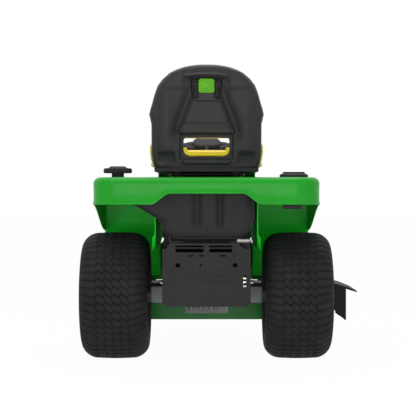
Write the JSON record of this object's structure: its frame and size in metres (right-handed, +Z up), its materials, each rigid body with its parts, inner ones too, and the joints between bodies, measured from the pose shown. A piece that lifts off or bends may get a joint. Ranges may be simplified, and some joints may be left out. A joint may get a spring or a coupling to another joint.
{
  "type": "riding lawn mower",
  "caption": "Lawn tractor with a padded seat, a steered front axle, hydrostatic rear transaxle and a belt-driven side-discharge cutting deck.",
  "frame": {"origin": "bottom centre of the bounding box, on the ground", "axes": "+Z up, +Y the way the machine drives forwards, +X to the driver's right"},
  "size_m": [1.224, 1.79, 1.168],
  "materials": {
    "tyre": "moulded, matt",
    "rim": "yellow gloss paint",
    "green_plastic": "moulded green, satin",
    "green_metal": "green enamel",
    "black_metal": "black powder coat",
    "black_plastic": "grained black",
    "shell_plastic": "grained charcoal",
    "cast": "as cast",
    "steel": "zinc plated",
    "cushion": "yellow vinyl, padded",
    "belt": "matt",
    "orange": "orange",
    "grip": "soft matt",
    "rail_paint": "black powder coat",
    "crank_steel": "machined"
  },
  "bodies": {
    "chassis": {"main_frame": "rail_paint", "hitch_plate": "black_metal", "transaxle": "cast", "fuel_tank": "black_plastic", "rear_fender": "green_plastic", "foot_deck": "black_metal", "dash_pedestal": "black_plastic", "dash_panel": "shell_plastic", "engine_block": "cast", "blower_housing": "black_plastic", "muffler": "steel", "battery": "black_plastic", "steering_column": "black_metal", "drive_belt": "belt", "seat_hinge": "steel"},
    "crank": {"crankshaft": "crank_steel"},
    "drive_input": {"transaxle_pulley": "black_plastic"},
    "steering": {"steering_wheel": "grip", "steering_shaft": "steel"},
    "pinion": {"pinion_shaft": "steel"},
    "sector": {"steering_sector": "steel"},
    "axle": {"front_axle": "green_metal"},
    "knuckle_left": {"knuckle_left": "green_metal"},
    "knuckle_right": {"knuckle_right": "green_metal"},
    "tie_rod": {"tie_rod": "steel"},
    "drag_link": {"drag_link": "steel"},
    "front_wheel_left": {"front_tyre_left": "tyre", "front_rim_left": "rim"},
    "front_wheel_right": {"front_tyre_right": "tyre", "front_rim_right": "rim"},
    "rear_wheel_left": {"rear_tyre_left": "tyre", "rear_rim_left": "rim"},
    "rear_wheel_right": {"rear_tyre_right": "tyre", "rear_rim_right": "rim"},
    "seat_carriage": {"seat_carriage": "black_metal"},
    "seat": {"seat_base": "black_metal", "seat_cushion": "cushion", "back_cushion": "cushion", "seat_back_shell": "shell_plastic"},
    "hood": {"hood": "green_plastic", "grille": "black_plastic"},
    "throttle": {"throttle_lever": "orange"},
    "pto_switch": {"pto_knob": "orange"},
    "key": {"ignition_key": "steel"},
    "brake_pedal": {"brake_pedal": "black_metal"},
    "forward_pedal": {"forward_pedal": "black_metal"},
    "reverse_pedal": {"reverse_pedal": "black_metal"},
    "lift": {"lift_lever": "black_metal"},
    "lift_links": {"lift_links": "steel"},
    "height_dial": {"cut_height_dial": "black_plastic"},
    "fuel_cap": {"fuel_cap": "black_plastic"},
    "freewheel": {"freewheel_rod": "steel"},
    "deck": {"deck_shell": "green_metal", "deck_belt": "belt"},
    "cutter_left": {"blade_left": "steel"},
    "cutter_right": {"blade_right": "steel"},
    "deck_input": {"input_pulley": "steel"},
    "chute": {"chute_deflector": "black_plastic"},
    "gauge_left": {"gauge_wheel_left": "black_plastic"},
    "gauge_right": {"gauge_wheel_right": "black_plastic"}
  },
  "joints": [
    {"name": "steering_turn", "type": "hinge", "parent": "chassis", "child": "steering", "pos_m": [-0.056, 0.205, 0.525], "axis": [0, -0.4226, 0.9063], "range_deg": [-280, 280]},
    {"name": "pinion_turn", "type": "hinge", "parent": "chassis", "child": "pinion", "pos_m": [-0.056, 0.205, 0.322], "axis": [0, 0, 1], "range_deg": [-281, 281]},
    {"name": "sector_turn", "type": "hinge", "parent": "chassis", "child": "sector", "pos_m": [-0.128, 0.205, 0.322], "axis": [0, 0, 1], "range_deg": [-41, 41]},
    {"name": "axle_rock", "type": "hinge", "parent": "chassis", "child": "axle", "pos_m": [-0.056, 0.65, 0.304], "axis": [0, 1, 0], "range_deg": [-6, 6]},
    {"name": "knuckle_left_turn", "type": "hinge", "parent": "axle", "child": "knuckle_left", "pos_m": [-0.331, 0.65, 0.2], "axis": [0, 0, 1], "range_deg": [-41, 41]},
    {"name": "knuckle_right_turn", "type": "hinge", "parent": "axle", "child": "knuckle_right", "pos_m": [0.219, 0.65, 0.2], "axis": [0, 0, 1], "range_deg": [-41, 41]},
    {"name": "tie_rod_swing", "type": "hinge", "parent": "knuckle_left", "child": "tie_rod", "pos_m": [-0.331, 0.56, 0.277], "axis": [0, 0, 1], "range_deg": [-41, 41]},
    {"name": "drag_link_swing", "type": "hinge", "parent": "knuckle_left", "child": "drag_link", "pos_m": [-0.286, 0.65, 0.304], "axis": [0, 0, 1], "range_deg": [-41, 41]},
    {"name": "front_wheel_left_spin", "type": "hinge", "parent": "knuckle_left", "child": "front_wheel_left", "pos_m": [-0.436, 0.65, 0.19], "axis": [1, 0, 0], "continuous": true},
    {"name": "rear_wheel_left_spin", "type": "hinge", "parent": "chassis", "child": "rear_wheel_left", "pos_m": [-0.42, -0.595, 0.254], "axis": [1, 0, 0], "continuous": true},
    {"name": "front_wheel_right_spin", "type": "hinge", "parent": "knuckle_right", "child": "front_wheel_right", "pos_m": [0.324, 0.65, 0.19], "axis": [1, 0, 0], "continuous": true},
    {"name": "rear_wheel_right_spin", "type": "hinge", "parent": "chassis", "child": "rear_wheel_right", "pos_m": [0.308, -0.595, 0.254], "axis": [1, 0, 0], "continuous": true},
    {"name": "seat_tilt", "type": "hinge", "parent": "chassis", "child": "seat_carriage", "pos_m": [-0.056, -0.252, 0.741], "axis": [-1, 0, 0], "range_deg": [0, 47]},
    {"name": "seat_slide", "type": "slide", "parent": "seat_carriage", "child": "seat", "axis": [0, 1, 0], "range_m": [-0.04, 0.04]},
    {"name": "hood_tilt", "type": "hinge", "parent": "chassis", "child": "hood", "pos_m": [-0.056, 0.829, 0.448], "axis": [-1, 0, 0], "range_deg": [0, 60]},
    {"name": "throttle_swing", "type": "hinge", "parent": "chassis", "child": "throttle", "pos_m": [0.048, 0.147, 0.77], "axis": [-1, 0, 0], "range_deg": [-5, 12]},
    {"name": "pto_pull", "type": "slide", "parent": "chassis", "child": "pto_switch", "axis": [0, 0, 1], "range_m": [0, 0.02]},
    {"name": "key_turn", "type": "hinge", "parent": "chassis", "child": "key", "pos_m": [-0.164, 0.153, 0.792], "axis": [0, 0, -1], "range_deg": [0, 75]},
    {"name": "brake_pedal_press", "type": "hinge", "parent": "chassis", "child": "brake_pedal", "pos_m": [-0.356, 0.147, 0.332], "axis": [-1, 0, 0], "range_deg": [0, 22]},
    {"name": "forward_pedal_press", "type": "hinge", "parent": "chassis", "child": "forward_pedal", "pos_m": [0.3, 0.147, 0.332], "axis": [-1, 0, 0], "range_deg": [0, 22]},
    {"name": "reverse_pedal_press", "type": "hinge", "parent": "chassis", "child": "reverse_pedal", "pos_m": [0.212, 0.147, 0.332], "axis": [-1, 0, 0], "range_deg": [0, 22]},
    {"name": "lift_swing", "type": "hinge", "parent": "chassis", "child": "lift", "pos_m": [-0.056, -0.085, 0.365], "axis": [-1, 0, 0], "range_deg": [0, 32]},
    {"name": "lift_link_swing", "type": "hinge", "parent": "lift", "child": "lift_links", "pos_m": [-0.056, 0.04573, 0.40249], "axis": [-1, 0, 0], "range_deg": [-33, 1]},
    {"name": "deck_lift", "type": "slide", "parent": "chassis", "child": "deck", "axis": [0, 0, 1], "range_m": [-0.0755, 0.0005]},
    {"name": "height_dial_turn", "type": "hinge", "parent": "chassis", "child": "height_dial", "pos_m": [0.287, -0.745, 0.728], "axis": [0, 0, 1], "range_deg": [-120, 120]},
    {"name": "fuel_cap_turn", "type": "hinge", "parent": "chassis", "child": "fuel_cap", "pos_m": [-0.402, -0.773, 0.75], "axis": [0, 0, 1], "range_deg": [0, 270]},
    {"name": "freewheel_pull", "type": "slide", "parent": "chassis", "child": "freewheel", "axis": [0, -1, 0], "range_m": [0, 0.02]},
    {"name": "crank_spin", "type": "hinge", "parent": "chassis", "child": "crank", "pos_m": [-0.056, 0.415, 0.386], "axis": [0, 0, 1], "continuous": true},
    {"name": "drive_input_spin", "type": "hinge", "parent": "chassis", "child": "drive_input", "pos_m": [-0.056, -0.575, 0.386], "axis": [0, 0, 1], "continuous": true},
    {"name": "deck_input_spin", "type": "hinge", "parent": "deck", "child": "deck_input", "pos_m": [-0.056, 0.415, 0.254], "axis": [0, 0, 1], "continuous": true},
    {"name": "cutter_left_spin", "type": "hinge", "parent": "deck", "child": "cutter_left", "pos_m": [-0.321, 0.055, 0.254], "axis": [0, 0, 1], "continuous": true},
    {"name": "gauge_left_spin", "type": "hinge", "parent": "deck", "child": "gauge_left", "pos_m": [-0.561, 0.417, 0.152], "axis": [1, 0, 0], "continuous": true},
    {"name": "cutter_right_spin", "type": "hinge", "parent": "deck", "child": "cutter_right", "pos_m": [0.209, 0.055, 0.254], "axis": [0, 0, 1], "continuous": true},
    {"name": "gauge_right_spin", "type": "hinge", "parent": "deck", "child": "gauge_right", "pos_m": [0.449, 0.417, 0.152], "axis": [1, 0, 0], "continuous": true},
    {"name": "chute_flip", "type": "hinge", "parent": "deck", "child": "chute", "pos_m": [0.497, 0.055, 0.262], "axis": [0, -1, 0], "range_deg": [0, 80]}
  ],
  "couplings": [
    {"joint": "pinion_turn", "follows": "steering_turn", "ratio": 1},
    {"joint": "sector_turn", "follows": "steering_turn", "ratio": 0.14286},
    {"joint": "knuckle_left_turn", "follows": "steering_turn", "ratio": 0.14286},
    {"joint": "knuckle_right_turn", "follows": "steering_turn", "ratio": 0.14286},
    {"joint": "tie_rod_swing", "follows": "steering_turn", "ratio": -0.14286},
    {"joint": "drag_link_swing", "follows": "steering_turn", "ratio": -0.14286},
    {"joint": "deck_lift", "follows": "lift_swing", "m_per_rad": -0.13424},
    {"joint": "lift_link_swing", "follows": "lift_swing", "ratio": -1},
    {"joint": "drive_input_spin", "follows": "crank_spin", "ratio": 0.58273},
    {"joint": "deck_input_spin", "follows": "crank_spin", "ratio": 1},
    {"joint": "cutter_left_spin", "follows": "crank_spin", "ratio": 1},
    {"joint": "cutter_right_spin", "follows": "crank_spin", "ratio": 1}
  ]
}
